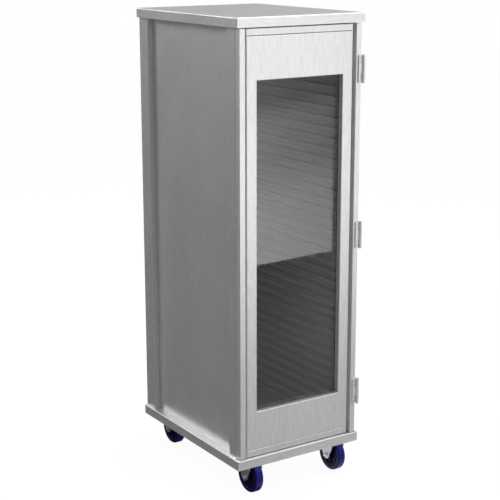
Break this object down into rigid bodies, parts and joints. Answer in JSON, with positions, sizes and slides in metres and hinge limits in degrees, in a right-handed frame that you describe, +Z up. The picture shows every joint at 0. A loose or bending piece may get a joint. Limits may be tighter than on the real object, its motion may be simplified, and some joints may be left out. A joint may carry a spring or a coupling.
{
  "type": "enclosed bun pan rack",
  "caption": "Tall enclosed aluminium pan rack on swivel casters, with a full-height windowed door and pan ledges inside.",
  "frame": {"origin": "on the floor, in the middle of the rack's outline seen from above, front tyres and hinge leaves included", "axes": "+Z up, the door faces -Y, +X to the right of a person who faces the door, where its hinges are"},
  "size_m": [0.5334, 0.7088, 1.7074],
  "materials": {
    "mill_aluminium": "fine vertical brushing",
    "sheet_aluminium": "mill sheet",
    "rivet_aluminium": "plain",
    "stainless_steel": "brushed",
    "zinc_steel": "bright zinc plate",
    "catch_black": "moulded",
    "clear_pane": "clear sheet",
    "gasket_rubber": "matt",
    "wheel_core": "moulded",
    "wheel_tread": "smooth"
  },
  "bodies": {
    "cabinet": {"base_deck": "mill_aluminium", "deck_cross_members": "mill_aluminium", "top_cap": "mill_aluminium", "ceiling_panel": "sheet_aluminium", "front_left_post": "mill_aluminium", "front_right_post": "mill_aluminium", "rear_left_post": "mill_aluminium", "rear_right_post": "mill_aluminium", "left_side_panel": "sheet_aluminium", "right_side_panel": "sheet_aluminium", "back_panel": "sheet_aluminium", "left_pan_slides": "sheet_aluminium", "right_pan_slides": "sheet_aluminium", "side_panel_rivets": "rivet_aluminium", "back_panel_rivets": "rivet_aluminium", "ceiling_rivets": "rivet_aluminium", "door_catch": "catch_black", "hinge_cabinet_leaves": "stainless_steel", "hinge_pins": "stainless_steel", "hinge_cabinet_screws": "stainless_steel", "caster_raceways": "zinc_steel", "caster_kingpins": "zinc_steel", "caster_bolts": "zinc_steel", "caster_nuts": "zinc_steel", "front_left_caster_plate": "zinc_steel", "front_right_caster_plate": "zinc_steel", "rear_left_caster_plate": "zinc_steel", "rear_right_caster_plate": "zinc_steel"},
    "door": {"door_left_stile": "mill_aluminium", "door_right_stile": "mill_aluminium", "door_top_rail": "mill_aluminium", "door_bottom_rail": "mill_aluminium", "door_core_sheet": "mill_aluminium", "door_face_panel": "mill_aluminium", "door_liner": "sheet_aluminium", "window_pane": "clear_pane", "window_gasket": "gasket_rubber", "liner_screws": "stainless_steel", "door_strike": "stainless_steel", "hinge_door_leaves": "stainless_steel", "hinge_door_screws": "stainless_steel"},
    "front_left_swivel": {"front_left_fork": "zinc_steel", "front_left_axle": "zinc_steel"},
    "front_left_wheel": {"front_left_wheel_core": "wheel_core", "front_left_tread": "wheel_tread"},
    "front_right_swivel": {"front_right_fork": "zinc_steel", "front_right_axle": "zinc_steel"},
    "front_right_wheel": {"front_right_wheel_core": "wheel_core", "front_right_tread": "wheel_tread"},
    "rear_left_swivel": {"rear_left_fork": "zinc_steel", "rear_left_axle": "zinc_steel"},
    "rear_left_wheel": {"rear_left_wheel_core": "wheel_core", "rear_left_tread": "wheel_tread"},
    "rear_right_swivel": {"rear_right_fork": "zinc_steel", "rear_right_axle": "zinc_steel"},
    "rear_right_wheel": {"rear_right_wheel_core": "wheel_core", "rear_right_tread": "wheel_tread"}
  },
  "joints": [
    {"name": "door_swing", "type": "hinge", "parent": "cabinet", "child": "door", "pos_m": [0.2607, -0.33955, 0.9089], "axis": [0, 0, 1], "range_deg": [0, 265]},
    {"name": "front_left_swivel_turn", "type": "hinge", "parent": "cabinet", "child": "front_left_swivel", "pos_m": [-0.1843, -0.26995, 0.135], "axis": [0, 0, 1], "continuous": true},
    {"name": "front_left_wheel_spin", "type": "hinge", "parent": "front_left_swivel", "child": "front_left_wheel", "pos_m": [-0.1843, -0.29095, 0.0635], "axis": [1, 0, 0], "continuous": true},
    {"name": "front_right_swivel_turn", "type": "hinge", "parent": "cabinet", "child": "front_right_swivel", "pos_m": [0.1843, -0.26995, 0.135], "axis": [0, 0, 1], "continuous": true},
    {"name": "front_right_wheel_spin", "type": "hinge", "parent": "front_right_swivel", "child": "front_right_wheel", "pos_m": [0.1843, -0.29095, 0.0635], "axis": [1, 0, 0], "continuous": true},
    {"name": "rear_left_swivel_turn", "type": "hinge", "parent": "cabinet", "child": "rear_left_swivel", "pos_m": [-0.1843, 0.28685, 0.135], "axis": [0, 0, 1], "continuous": true},
    {"name": "rear_left_wheel_spin", "type": "hinge", "parent": "rear_left_swivel", "child": "rear_left_wheel", "pos_m": [-0.1843, 0.26585, 0.0635], "axis": [1, 0, 0], "continuous": true},
    {"name": "rear_right_swivel_turn", "type": "hinge", "parent": "cabinet", "child": "rear_right_swivel", "pos_m": [0.1843, 0.28685, 0.135], "axis": [0, 0, 1], "continuous": true},
    {"name": "rear_right_wheel_spin", "type": "hinge", "parent": "rear_right_swivel", "child": "rear_right_wheel", "pos_m": [0.1843, 0.26585, 0.0635], "axis": [1, 0, 0], "continuous": true}
  ]
}
